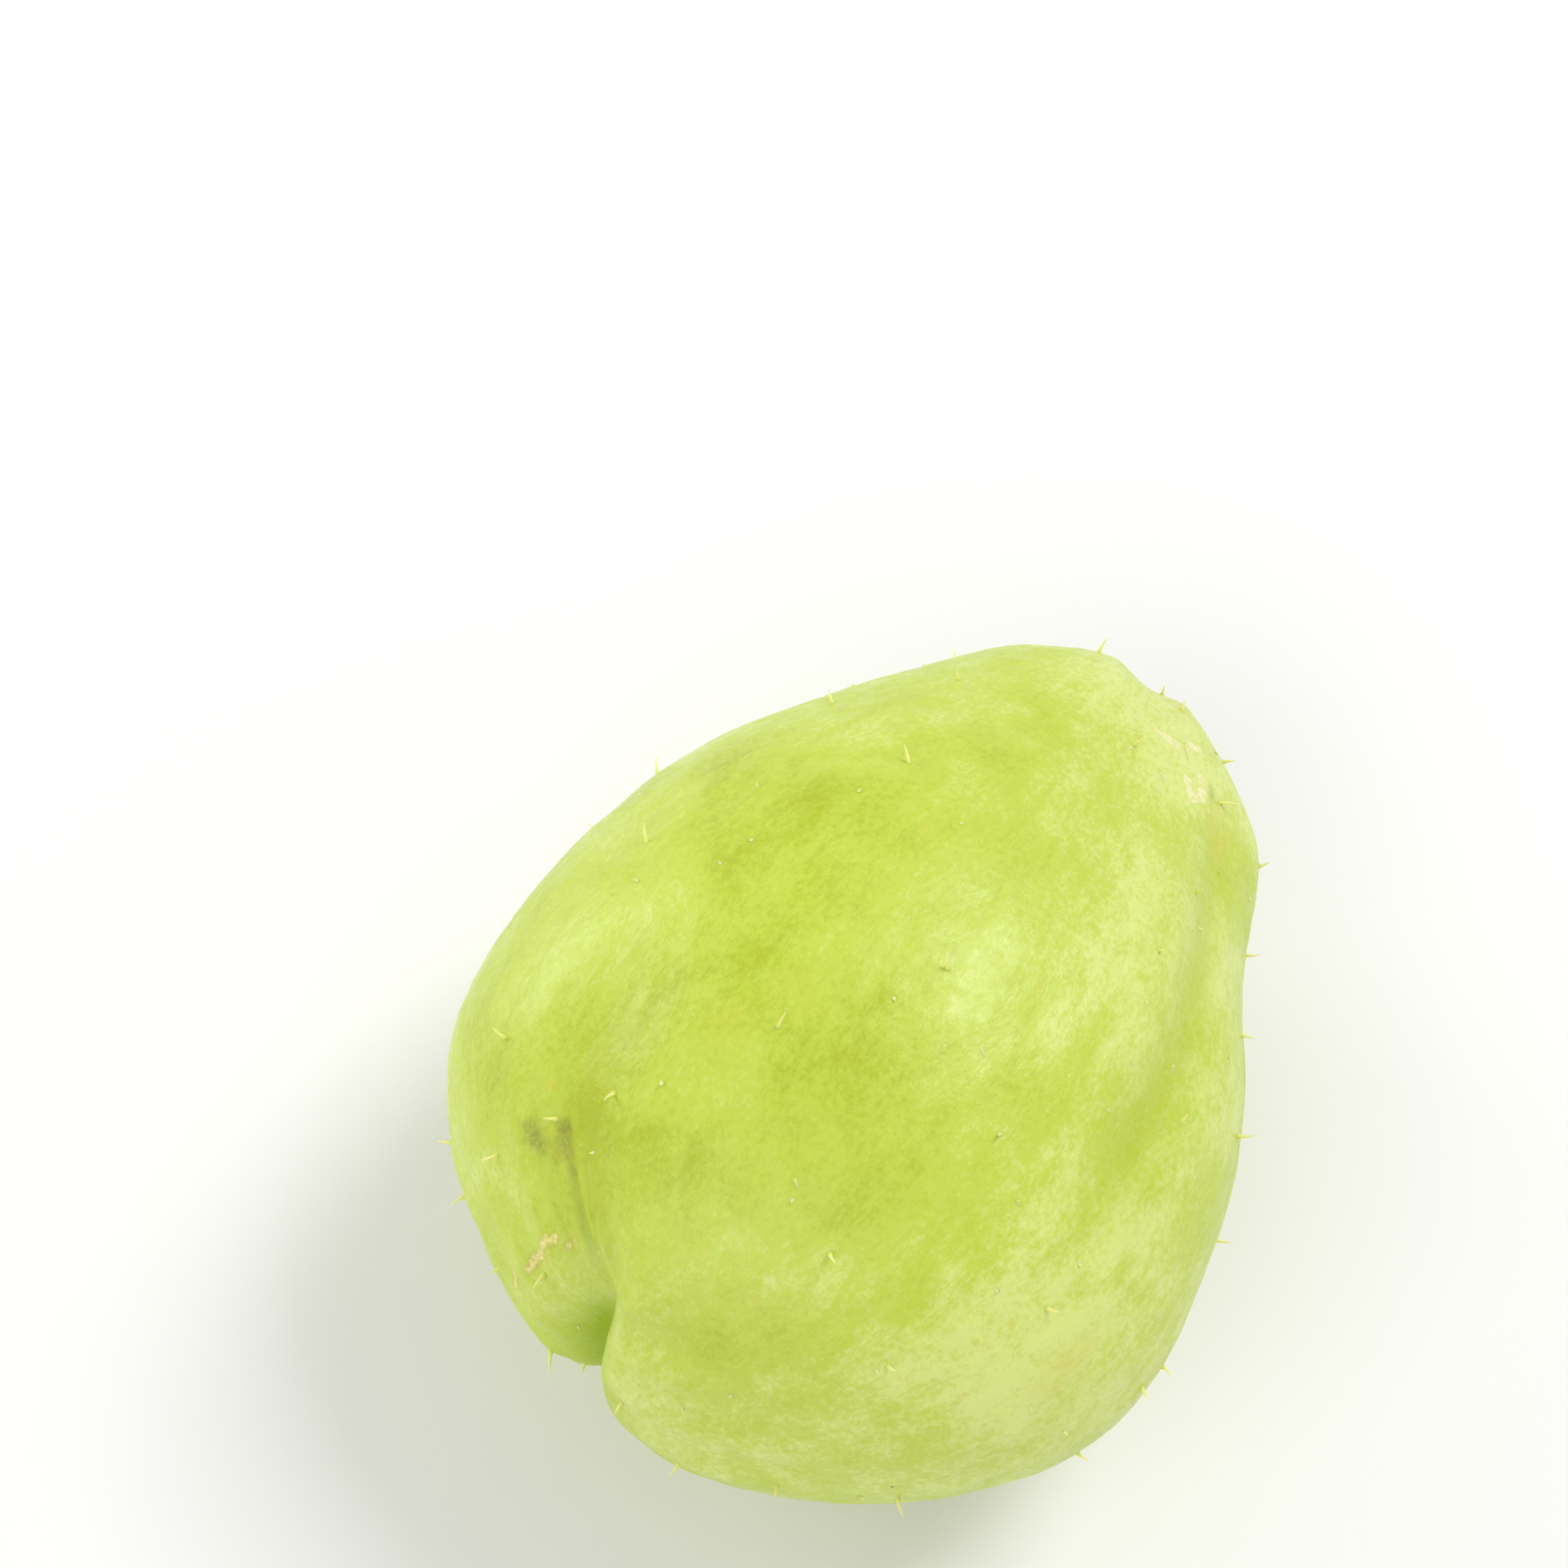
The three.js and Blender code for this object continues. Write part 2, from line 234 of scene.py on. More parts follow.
def fan_lines(across, up):
    """On which line round the slit a point is, and how far out along it."""
    beside = beside_mouth(across, up)
    to_top = np.hypot(beside, up - PUCKERS["middle"] - PUCKERS["half"])
    to_bottom = np.hypot(beside, up - PUCKERS["middle"] + PUCKERS["half"])
    fan = np.arccos(np.clip((to_bottom - to_top) / (2 * PUCKERS["half"]), -1, 1))
    return fan, np.sqrt(np.maximum(0, (to_top + to_bottom) / 2 - PUCKERS["half"]))


def pucker_reach(away, along):
    """Where the puckers are felt, from 0 to 1."""
    return ease(*PUCKERS["near"], away) * ease(*PUCKERS["far"], away) * ease(*PUCKERS["nose"], along)


def pucker_relief(along, across, up):
    """Puckers on lines that fan out round the slit's ends."""
    fan, away = fan_lines(across, up)
    shift = PUCKERS["side_shift"] * np.tanh(beside_mouth(across, up) / PUCKERS["side_width"])
    second = np.sin(PUCKERS["second_waves"] * fan + PUCKERS["second_start"] - shift)
    wave = np.sin(PUCKERS["waves"] * fan + shift) + PUCKERS["second_height"] * second
    return PUCKERS["height"] * pucker_reach(away, along) * wave


def directions_at(along, turn):
    """Unit directions from the fruit's middle."""
    ring = np.sqrt(np.maximum(0, 1 - along * along))
    return np.stack([along, ring * np.sin(turn), ring * np.cos(turn)], axis=-1)


def skin_points(directions, extra=0.0):
    """Points of the skin in these directions, raised by extra."""
    along, across, up = directions.T
    ring = np.hypot(across, up)
    turn = np.arctan2(across, up)
    girth = girth_at(along)
    points = np.stack([
        LENGTH / 2 * along,
        WIDTH / 2 * girth * np.sin(turn),
        HEIGHT / 2 * girth * np.cos(turn),
    ], axis=-1)
    relief = mouth_relief(along, across, up) + extra
    relief += lip_relief(LIP_LEFT, along, across, up)
    relief += lip_relief(LIP_RIGHT, along, across, up)
    relief += stem_relief(along, ring, turn)
    relief += pucker_relief(along, across, up)
    for furrow in FURROWS:
        relief -= furrow[1] * MM * furrow_share(furrow, along, across, up)
    for swelling in SWELLINGS:
        relief += MM * swelling_relief(swelling, along, ring, turn)
    for lump in LUMPS:
        relief += MM * lump_relief(lump, along, ring, turn)
    points = points * (1 + relief / np.linalg.norm(points, axis=-1))[:, None]
    points[:, 1] += BOW * along * along + SWAY * along
    return points + np.array(MIDDLE)


def skin_normals(directions, step=0.01):
    """Outward directions of the skin."""
    first = unit(np.cross(directions, (0.3, 0.5, 0.8)))
    second = np.cross(directions, first)

    def stepped(tangent):
        ahead, behind = unit(directions + step * tangent), unit(directions - step * tangent)
        return skin_points(ahead) - skin_points(behind)

    return unit(np.cross(stepped(first), stepped(second)))


def make_draw(seed):
    """The same draws every time, between 0 and 1 (a Lehmer sequence)."""
    state = seed

    def draw():
        nonlocal state
        state = (state * 16807) % 2147483647
        return state / 2147483647

    return draw


def prickle_at(along, turn, length, lean_turn, lean):
    """The foot, direction, side and length of one prickle."""
    direction = directions_at(np.array([along]), np.array([turn]))
    foot = Vector(skin_points(direction)[0])
    outward = Vector(skin_normals(direction)[0])
    sideways = Vector((1, 0, 0)).cross(outward).normalized()
    sideways.rotate(Matrix.Rotation(lean_turn, 3, outward))
    return foot, (outward + lean * sideways).normalized(), sideways, length


def prickle_seats():
    """Where the part's prickles grow, and how each leans."""
    draw = make_draw(PRICKLES["seed"])
    seats = [
        prickle_at(along, math.radians(turn), length * MM, 2 * math.pi * draw(), PRICKLES["lean"] * draw())
        for along, turn, length in PLACED
    ]
    for i in range(PRICKLES["seats"]):
        share = (i + 0.5) / PRICKLES["seats"] + PRICKLES["along_jitter"] * (2 * draw() - 1)
        along = math.cos(math.pi * share)
        turn = i * PRICKLES["golden_turn"] + PRICKLES["turn_jitter"] * (2 * draw() - 1)
        length = PRICKLES["length"] + PRICKLES["length_spread"] * (2 * draw() - 1)
        seat = prickle_at(along, turn, length, 2 * math.pi * draw(), PRICKLES["lean"] * draw())
        across, up = directions_at(along, turn)[1:]
        in_mouth = along < 0 and abs(beside_mouth(across, up)) < PRICKLES["mouth_clear"]
        crowded = any((seat[0] - other[0]).length < PRICKLES["apart"] for other in seats)
        clear = along < PRICKLES["stem_clear"] and seat[0].z > PRICKLES["floor_clear"]
        if clear and not in_mouth and not crowded:
            seats.append(seat)
    return seats


# ---- what a user would change


def colour_setting(name, description, colour):
    return FloatVectorProperty(
        name=name, description=description, subtype="COLOR", size=3, default=colour)


def length_setting(name, description, length):
    return FloatProperty(name=name, description=description, default=length, unit="LENGTH")


def power_setting(name, description, power):
    return FloatProperty(name=name, description=description, default=power, unit="POWER")


class ChayoteSkinSettings(bpy.types.PropertyGroup):
    """Sizes and colours of the skin."""

    rays: IntProperty(name="Rays", description="Mesh lines from end to end", default=440, min=64)
    rings: IntProperty(name="Rings", description="Mesh rings around the fruit", default=226, min=32)
    lump_height: length_setting("Lump height", "Height of its uneven lumps", 0.6 * MM)
    grain_height: length_setting("Grain height", "Height of its leathery grain", 0.16 * MM)
    deep: colour_setting("Deep green", "Furrows and darker mottles", (0.40, 0.49, 0.014))
    middle: colour_setting("Leaf green", "Most of the skin", (0.525, 0.64, 0.066))
    pale: colour_setting("Pale green", "Ridges and paler mottles", (0.68, 0.765, 0.23))
    cork: colour_setting("Cork", "Golden healed scars", (0.71, 0.60, 0.17))
    scab: colour_setting("Scab", "Smooth cream scars", (0.87, 0.82, 0.48))
    blush: colour_setting("Blush", "Faint yellow-brown rubs", (0.62, 0.55, 0.07))


class ChayotePrickleSettings(bpy.types.PropertyGroup):
    """Sizes and colours of the prickles."""

    root_radius: length_setting("Root radius", "Radius of a prickle at the skin", 0.21 * MM)
    root_colour: colour_setting("Root colour", "Prickle next to the skin", (0.64, 0.75, 0.15))
    tip_colour: colour_setting("Tip colour", "Prickle at its dry tip", (0.87, 0.78, 0.31))
    stubs: IntProperty(name="Stubs", description="Number of worn prickles", default=60, min=0)


class ChayoteStageSettings(bpy.types.PropertyGroup):
    """The floor and the light."""

    floor_size: length_setting("Floor size", "Side of the square floor", 16.0)
    floor_colour: colour_setting("Floor colour", "The pale floor", (0.86, 0.86, 0.85))
    key_power: power_setting("Key light", "Power of the light above", 4.5)
    side_power: power_setting("Side light", "Power of the light at the side", 2.6)
    front_power: power_setting("Front light", "Power of the light in front", 4.8)


# ---- small tools


def deselect():
    bpy.ops.object.select_all(action="DESELECT")


def start_piece(name):
    """Names the primitive that was just added."""
    piece = bpy.context.active_object
    piece.name = name
    piece.data.name = name
    return piece


def read_points(piece):
    """All points of the piece, one to a row."""
    points = np.empty(len(piece.data.vertices) * 3, np.float32)
    piece.data.vertices.foreach_get("co", points)
    return points.reshape(-1, 3).astype(float)


def write_points(piece, points):
    """Moves the piece's points to these places."""
    piece.data.vertices.foreach_set("co", np.ascontiguousarray(points, np.float32).ravel())
    piece.data.update()


def write_attribute(piece, name, values):
    """Notes a number or a vector for every point of the piece."""
    kind, field = ("FLOAT_VECTOR", "vector") if values.ndim == 2 else ("FLOAT", "value")
    attribute = piece.data.attributes.new(name, kind, "POINT")
    attribute.data.foreach_set(field, np.ascontiguousarray(values, np.float32).ravel())


def on_skin(point):
    """The nearest place on the finished skin."""
    skin = bpy.data.objects.get("fruit_skin")
    if skin is None:
        raise RuntimeError("the skin is made before what grows on it")
    return skin.closest_point_on_mesh(point)[1]


def noise_at(vectors):
    """Smooth noise between -1 and 1 at each place."""
    return np.array([noise.noise(Vector(v)) for v in vectors])


def hand_over(piece):
    """The piece rides on the part's one body and stands for its node."""
    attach(piece, "root")
    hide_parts(NODE)


class Shader:
    """Lays out one material's nodes."""

    def __init__(self, name):
        self.material = bpy.data.materials.new(name)
        self.material.use_nodes = True
        self.tree = self.material.node_tree
        self.body = self.tree.nodes["Principled BSDF"]

    def put(self, socket, value):
        """Sets a socket to a number or colour, or links it to an output."""
        if isinstance(value, bpy.types.NodeSocket):
            self.tree.links.new(value, socket)
        elif socket.type == "RGBA" and len(value) == 3:
            socket.default_value = (*value, 1)
        else:
            socket.default_value = value

    def fill(self, values):
        """Sets or links the body's own sockets."""
        for name, value in values.items():
            self.put(self.body.inputs[name], value)

    def node(self, kind, inputs=None, **settings):
        """Adds a node with these settings, and fills these inputs."""
        made = self.tree.nodes.new(kind)
        for name, value in settings.items():
            setattr(made, name, value)
        for name, value in (inputs or {}).items():
            self.put(made.inputs[name], value)
        return made

    def place(self, stretch=(1, 1, 1)):
        """Places on the piece, in metres."""
        coordinates = self.node("ShaderNodeTexCoord").outputs["Object"]
        return self.node("ShaderNodeMapping", {"Vector": coordinates, "Scale": stretch}).outputs[0]

    def attribute(self, name, output="Fac"):
        """What was noted on the piece's points under this name."""
        return self.node("ShaderNodeAttribute", attribute_name=name).outputs[output]

    def noise(self, place, scale, detail=3.0, roughness=0.55, distortion=0.0):
        """Cloudy noise from 0 to 1, with scale waves to the metre."""
        inputs = {"Vector": place, "Scale": scale, "Detail": detail, "Roughness": roughness,
                  "Distortion": distortion}
        return self.node("ShaderNodeTexNoise", inputs).outputs["Fac"]

    def cells(self, place, scale):
        """How far off the nearest of many scattered dots is."""
        return self.node("ShaderNodeTexVoronoi", {"Vector": place, "Scale": scale}).outputs["Distance"]

    def math(self, operation, *values, clamp=False):
        """One sum or other operation on these values."""
        inputs = dict(enumerate(values))
        return self.node("ShaderNodeMath", inputs, operation=operation, use_clamp=clamp).outputs[0]

    def times(self, first, second):
        return self.math("MULTIPLY", first, second)

    def weigh(self, *shares):
        """The sum of several values, each times its weight."""
        total = 0.0
        for value, weight in shares:
            total = self.math("MULTIPLY_ADD", value, weight, total)
        return total

    def span(self, value, low, high, to_low=0.0, to_high=1.0):
        """Maps low..high to to_low..to_high, smoothly and clamped."""
        inputs = {"Value": value, "From Min": low, "From Max": high, "To Min": to_low, "To Max": to_high}
        return self.node("ShaderNodeMapRange", inputs, interpolation_type="SMOOTHSTEP").outputs["Result"]

    def mix(self, share, first, second):
        """The first colour where share is 0, the second where it is 1."""
        inputs = {"Factor": share, 6: first, 7: second}
        return self.node("ShaderNodeMix", inputs, data_type="RGBA").outputs[2]

    def tint(self, colour, tone, where, strength):
        """The colour, turned this far to the tone where the mask is 1."""
        return self.mix(self.times(where, strength), colour, tone)

    def bump(self, height, distance, strength=1.0, under=None):
        """Tilts the shading by a height, over the bumps under it."""
        inputs = {"Height": height, "Distance": distance, "Strength": strength}
        if under is not None:
            inputs["Normal"] = under
        return self.node("ShaderNodeBump", inputs).outputs["Normal"]


# ---- the skin

# Marks are short strokes: two ends, each along and turn in degrees, half width in mm, strength.

# Rough golden scars
CORKS = (
    (-0.871, 32.3, -0.904, 42, 0.75, 1.0),
    (-0.871, 34.8, -0.892, 38.5, 0.6, 1.0),
    (-0.909, 44.8, -0.921, 49.2, 0.8, 0.8),
    (-0.928, 66, -0.938, 72, 0.6, 1.0),
    (-0.877, 28.7, -0.865, 25.3, 0.6, 0.7),
    (-0.897, 34.8, -0.9, 35.5, 0.4, 0.6),
    (-0.758, 31.3, -0.762, 33.5, 0.4, 0.55),
    (0.33, 148, 0.38, 152, 0.7, 0.9),
    (-0.54, -147, -0.57, -152, 0.7, 0.9),
    (-0.5, -150, -0.54, -156, 0.45, 0.8),
    (0.18, 84, 0.22, 86, 0.6, 0.8),
)

# Smooth cream scars
SCABS = (
    (0.697, -34, 0.668, -37, 0.95, 1.0),
    (0.735, -39.6, 0.694, -40.8, 1.1, 1.0),
    (0.668, -37, 0.688, -40, 0.85, 1.0),
    (0.684, -44.5, 0.68, -44.6, 0.4, 0.8),
    (0.655, -42.7, 0.653, -42.8, 0.3, 0.8),
    (0.767, -18.2, 0.765, -22.5, 0.4, 0.9),
    (0.765, -22.5, 0.77, -28, 0.85, 1.0),
    (0.802, -34.2, 0.812, -37.6, 1.1, 0.7),
    (0.655, -26.7, 0.671, -29, 0.3, 0.8),
    (0.5, 118, 0.53, 121, 0.7, 0.9),
    (-0.15, -128, -0.12, -131, 0.8, 0.9),
)

# Olive-brown stains of a bruise
BRUISES = (
    (-0.722, 33, -0.748, 32.8, 1.4, 1.0),
    (-0.738, 40.5, -0.754, 37.5, 1.9, 0.6),
    (-0.749, 33.5, -0.758, 31.3, 0.9, 0.8),
    (-0.767, 33, -0.77, 33.2, 0.6, 0.8),
    (-0.779, 29.8, -0.785, 29.2, 0.8, 0.6),
    (0.745, -44.7, 0.72, -45.5, 0.8, 0.4),
)

# Fields are ovals: along, turn in degrees, half length along, half girth, strength.

# Faint yellow-brown rubs
BLUSHES = (
    (-0.46, -67, 0.07, 0.07, 0.9),
    (0.665, -51.5, 0.05, 0.06, 1.3),
    (-0.41, 10, 0.06, 0.05, 0.5),
    (-0.30, 5, 0.05, 0.05, 0.35),
    (0.93, -30, 0.05, 0.2, 0.5),
    (0.1, 120, 0.12, 0.12, 0.6),
    (-0.2, -130, 0.1, 0.12, 0.6),
)

# Broad paler fields: partly the skin's own paler tone, partly painted light on parts that lie in shade
PALER_AND_LIT = (
    (-0.45, -70, 0.5, 0.5, 1.3),
    (-0.24, -42, 0.25, 0.25, 0.9),
    (-0.92, 26, 0.1, 0.35, 1.2),
    (0.3, -45, 0.5, 0.45, 1.3),
    (0.8, -25, 0.3, 0.6, 1.8),
    (-0.9, 50, 0.1, 0.25, 1.0),
    (-0.1, 170, 0.7, 0.5, 0.9),
)

# Broad deeper green fields: partly the skin's own deeper tone, partly painted shade
GREENER_AND_SHADED = (
    (-0.42, -9, 0.35, 0.3, 1.5),
    (-0.62, 14, 0.27, 0.45, 1.1),
    (0.1, 30, 0.5, 0.4, 0.6),
    (-0.3, 120, 0.4, 0.3, 0.7),
    (0.2, -150, 0.5, 0.3, 0.6),
)

# What the material reads of the furrows and of the mouth, for the painted shade in them
HOLLOW_SHADE = dict(full_depth=1.5 * MM, mouth_share=0.6, mouth_width=0.12, mouth_nose=(-0.6, -0.9))
VALLEY_SHADE = 0.5          # its share of the slit's deep green
VALLEY_SHADE_UP = (0.4, -0.4)
STALK_RADIUS_SHARE = 0.09   # how far the brown scar reaches
GRAIN_ALONG = 0.35          # under 1, the streaks run lengthwise

# Fine creases between the puckers
CREASES = dict(height=0.16 * MM, waves=41, depth_share=0.6, noise_size=5.0, wander=5, sharpness=0.5)


def patches(places, along, ring, turn):
    """The strongest oval patch at every point."""
    strongest = np.zeros_like(along)
    for *oval, strength in places:
        patch = swelling_relief((strength, *oval), along, ring, turn)
        strongest = np.maximum(strongest, patch)
    return strongest


def strokes(marks, points):
    """The strongest stroke at every point: its strength along its middle, 0 at its edges."""
    strongest = np.full(len(points), -1.0)
    for *places, half_width, strength in marks:
        alongs, turns = np.reshape(places, (2, 2)).T
        ends = skin_points(directions_at(alongs, np.radians(turns)))
        line = ends[1] - ends[0]
        share = np.clip((points - ends[0]) @ line / (line @ line), 0, 1)
        away = np.linalg.norm(points - ends[0] - np.outer(share, line), axis=-1)
        inside = np.maximum(-1, 1 - away / (half_width * MM))
        strongest = np.maximum(strongest, strength * inside)
    return strongest


def crease_relief(along, across, up):
    """Fine sharp creases over the mouth's lips."""
    fan, away = fan_lines(across, up)
    reach = pucker_reach(away, along)
    relief = np.zeros_like(along)
    near = reach > 0
    places = np.stack([across[near], up[near], along[near]], axis=-1) * CREASES["noise_size"]
    unrest = noise_at(places)
    swing = CREASES["waves"] * fan[near] / 2 + CREASES["wander"] * unrest
    wave = 1 - np.abs(np.sin(swing)) ** CREASES["sharpness"]
    relief[near] = -CREASES["height"] * reach[near] * wave * (CREASES["depth_share"] + unrest)
    return relief


def skin_directions(piece, crowding=0.18):
    """The sphere's points as directions, crowded at the fruit's ends."""
    points = read_points(piece)
    even = np.arccos(np.clip(-points[:, 2], -1, 1))
    polar = np.pi - even + crowding * np.sin(2 * even)
    turn = np.arctan2(points[:, 0], points[:, 1])
    return directions_at(np.cos(polar), turn), turn


def shape_skin(piece):
    """Moves the sphere's points onto the fruit and notes what the material reads."""
    directions, turn = skin_directions(piece)
    along, across, up = directions.T
    ring = np.hypot(across, up)
    points = skin_points(directions, crease_relief(along, across, up))
    write_points(piece, points)
    # where the furrows and the mouth get painted shade
    hollow = sum(furrow_share(furrow, along, across, up) * furrow[1] * MM for furrow in FURROWS)
    by_mouth = bell(beside_mouth(across, up), HOLLOW_SHADE["mouth_width"]) * ease(*HOLLOW_SHADE["mouth_nose"], along)
    hollow = hollow / HOLLOW_SHADE["full_depth"] + HOLLOW_SHADE["mouth_share"] * by_mouth
    # the valley beside the slit is noted with the slit, for painted shade in the mouth's crease
    valley = valley_share(along, across, up) * ease(*VALLEY_SHADE_UP, up)
    lengthwise = GRAIN_ALONG * np.arccos(np.clip(along, -1, 1))
    notes = dict(
        hollow=np.clip(hollow, 0, 1),
        slit=np.clip(slit_share(along, across, up) + VALLEY_SHADE * valley, 0, 1),
        stalk=np.where(along > 0, bell(ring, STALK_RADIUS_SHARE), 0),
        grain=np.stack([np.sin(turn), np.cos(turn), lengthwise], axis=-1),
    )
    for name, marks in (("cork", CORKS), ("scab", SCABS), ("bruise", BRUISES)):
        notes[name] = strokes(marks, points)
    for name, ovals in (("blush", BLUSHES), ("paler", PALER_AND_LIT), ("greener", GREENER_AND_SHADED)):
        notes[name] = patches(ovals, along, ring, turn)
    for name, values in notes.items():
        write_attribute(piece, name, values)


LUMP_SIZE, GRAIN_SIZE = 9 * MM, 2.2 * MM


def displace(piece, name, size, height):
    """Raises and lowers the skin by a cloudy pattern."""
    texture = bpy.data.textures.new(name, "CLOUDS")
    texture.noise_scale = size
    texture.noise_depth = 2
    modifier = piece.modifiers.new(name, "DISPLACE")
    modifier.texture = texture
    modifier.texture_coords = "LOCAL"
    modifier.strength = height
    modifier.mid_level = 0.5
    bpy.ops.object.modifier_apply(modifier=name)


# Colours of the marks; the furrows' olive line and the mouth's green are partly painted shade
FURROW_OLIVE_SHADE = (0.45, 0.51, 0.03)
MOUTH_GREEN_AND_SHADE = (0.38, 0.52, 0.003)
STAIN_OLIVE = (0.30, 0.33, 0.02)
SPECK_BROWN = (0.25, 0.22, 0.03)
DOT_BLACK = (0.06, 0.05, 0.015)
CORK_EDGE = (0.52, 0.52, 0.04)
CORK_PALE = (0.82, 0.75, 0.34)
SCAB_GREEN = (0.71, 0.71, 0.27)
STALK_BROWN = (0.33, 0.22, 0.09)
STALK_TAN = (0.62, 0.52, 0.26)

# The skin's green: how much each pattern counts, and where it turns paler or deeper
TONE_SHARES = dict(broad=0.26, cloud=0.44, fine=0.28, streaks=0.12, fibres=0.15)
TONE_SHIFT = 0.125
PALER_LIFT, GREENER_DROP = 0.08, 0.06
PALE_FROM, PALE_TO = 0.50, 0.66
DEEP_FROM, DEEP_TO = 0.515, 0.32

# Heights of the skin's finest relief
PEEL = 0.16 * MM
LEATHER = 0.09 * MM
PITS = 0.035 * MM
FIBRE_RIDGES = 0.05 * MM
CORK_RAISED = 0.08 * MM
SCAB_RAISED = 0.06 * MM

SKIN_SHEEN = {
    "Subsurface Weight": 0.22, "Subsurface Radius": (1.0, 0.9, 0.25), "Subsurface Scale": 2.5 * MM,
    "IOR": 1.45, "Coat Weight": 0.12, "Coat Roughness": 0.22,
}


def skin_greens(shader, settings, patterns):
    """The mottled green under all marks, with painted light and shade in broad fields and painted shade in
    the furrows and by the mouth.
    """
    hollow = shader.attribute("hollow")
    shares = [(patterns[name], share) for name, share in TONE_SHARES.items()]
    # painted light on the paler fields and painted shade on the greener ones, partly the skin's own tone
    paler = (shader.attribute("paler"), PALER_LIFT)
    greener = (shader.attribute("greener"), -GREENER_DROP)
    tone = shader.weigh(*shares, (-TONE_SHIFT, 1), paler, greener)
    deep_share = shader.span(tone, DEEP_FROM, DEEP_TO)
    # painted shade: deeper green in the furrows and by the mouth, partly their own colour
    deep_share = shader.math("ADD", deep_share, shader.times(hollow, 0.45), clamp=True)
    colour = shader.mix(shader.span(tone, PALE_FROM, PALE_TO), settings.middle, settings.pale)
    colour = shader.mix(deep_share, colour, settings.deep)

    # painted shade: a dark olive line along the bottom of each furrow, partly the furrow's own colour
    line = shader.span(shader.weigh((hollow, 1), (patterns["cloud"], 0.5)), 0.8, 1.3, 0.0, 0.35)
    colour = shader.mix(line, colour, FURROW_OLIVE_SHADE)

    place = patterns["place"]
    pores = shader.span(shader.cells(place, 620), 0.2, 0.06)
    pores = shader.times(pores, shader.span(shader.noise(place, 240, 1), 0.45, 0.6))
    return shader.tint(colour, settings.pale, pores, 0.25)


def soft_marks(shader, settings, patterns, colour):
    """Rubs, the bruise's stain, freckles and dark dots."""
    place = patterns["place"]

    # rubs, broken up by the streaks
    blush = shader.times(shader.attribute("blush"), shader.span(patterns["streaks"], 0.35, 0.62))
    colour = shader.tint(colour, settings.blush, blush, 0.7)

    # the stain, stippled and soft at its edges
    cloudy = shader.noise(place, 420, 3, 0.6)
    stain = shader.weigh((shader.attribute("bruise"), 1), (cloudy, 0.9))
    stain = shader.span(stain, 0.35, 1.25)
    colour = shader.tint(colour, STAIN_OLIVE, stain, 0.65)
    stipple = shader.noise(shader.place((1, 1, 0.5)), 1900, 3, 0.75)
    specks = shader.times(stain, shader.span(stipple, 0.46, 0.62))
    colour = shader.tint(colour, SPECK_BROWN, specks, 0.55)
    crumbs = shader.times(stain, shader.span(shader.cells(place, 1300), 0.2, 0.1))
    colour = shader.tint(colour, settings.cork, crumbs, 0.4)

    freckles = shader.span(shader.noise(place, 260, 3, 0.6), 0.66, 0.76)
    colour = shader.tint(colour, settings.blush, freckles, 0.5)

    dots = shader.span(shader.cells(place, 95), 0.022, 0.013)
    return shader.tint(colour, DOT_BLACK, dots, 0.8)


def rough_scars(shader, settings, patterns, colour):
    """Golden cork, torn at its edges: the colour, and where the cork is."""
    place = patterns["place"]
    ragged = shader.noise(place, 1100, 4, 0.8, 0.4)
    torn = shader.weigh((shader.attribute("cork"), 1), (ragged, 1.7), (patterns["fibres"], 0.7))
    colour = shader.mix(shader.span(torn, 0.6, 1.5, 0.0, 0.35), colour, CORK_EDGE)
    cork = shader.span(torn, 1.42, 1.66)
    mottle = shader.span(shader.noise(place, 2600, 3), 0.38, 0.62)
    tone = shader.mix(mottle, settings.cork, CORK_PALE)
    return shader.tint(colour, tone, cork, 0.85), cork


def smooth_scars(shader, settings, patterns, colour):
    """Cream scabs with a faint mottle: the colour, and where they are."""
    place = patterns["place"]
    edge = shader.noise(place, 900, 4, 0.8)
    scab = shader.span(shader.weigh((shader.attribute("scab"), 1), (edge, 1.5)), 0.9, 1.15)
    mottle = shader.span(shader.noise(place, 1500, 2), 0.35, 0.65)
    tone = shader.mix(mottle, settings.scab, SCAB_GREEN)
    return shader.tint(colour, tone, scab, 0.9), scab


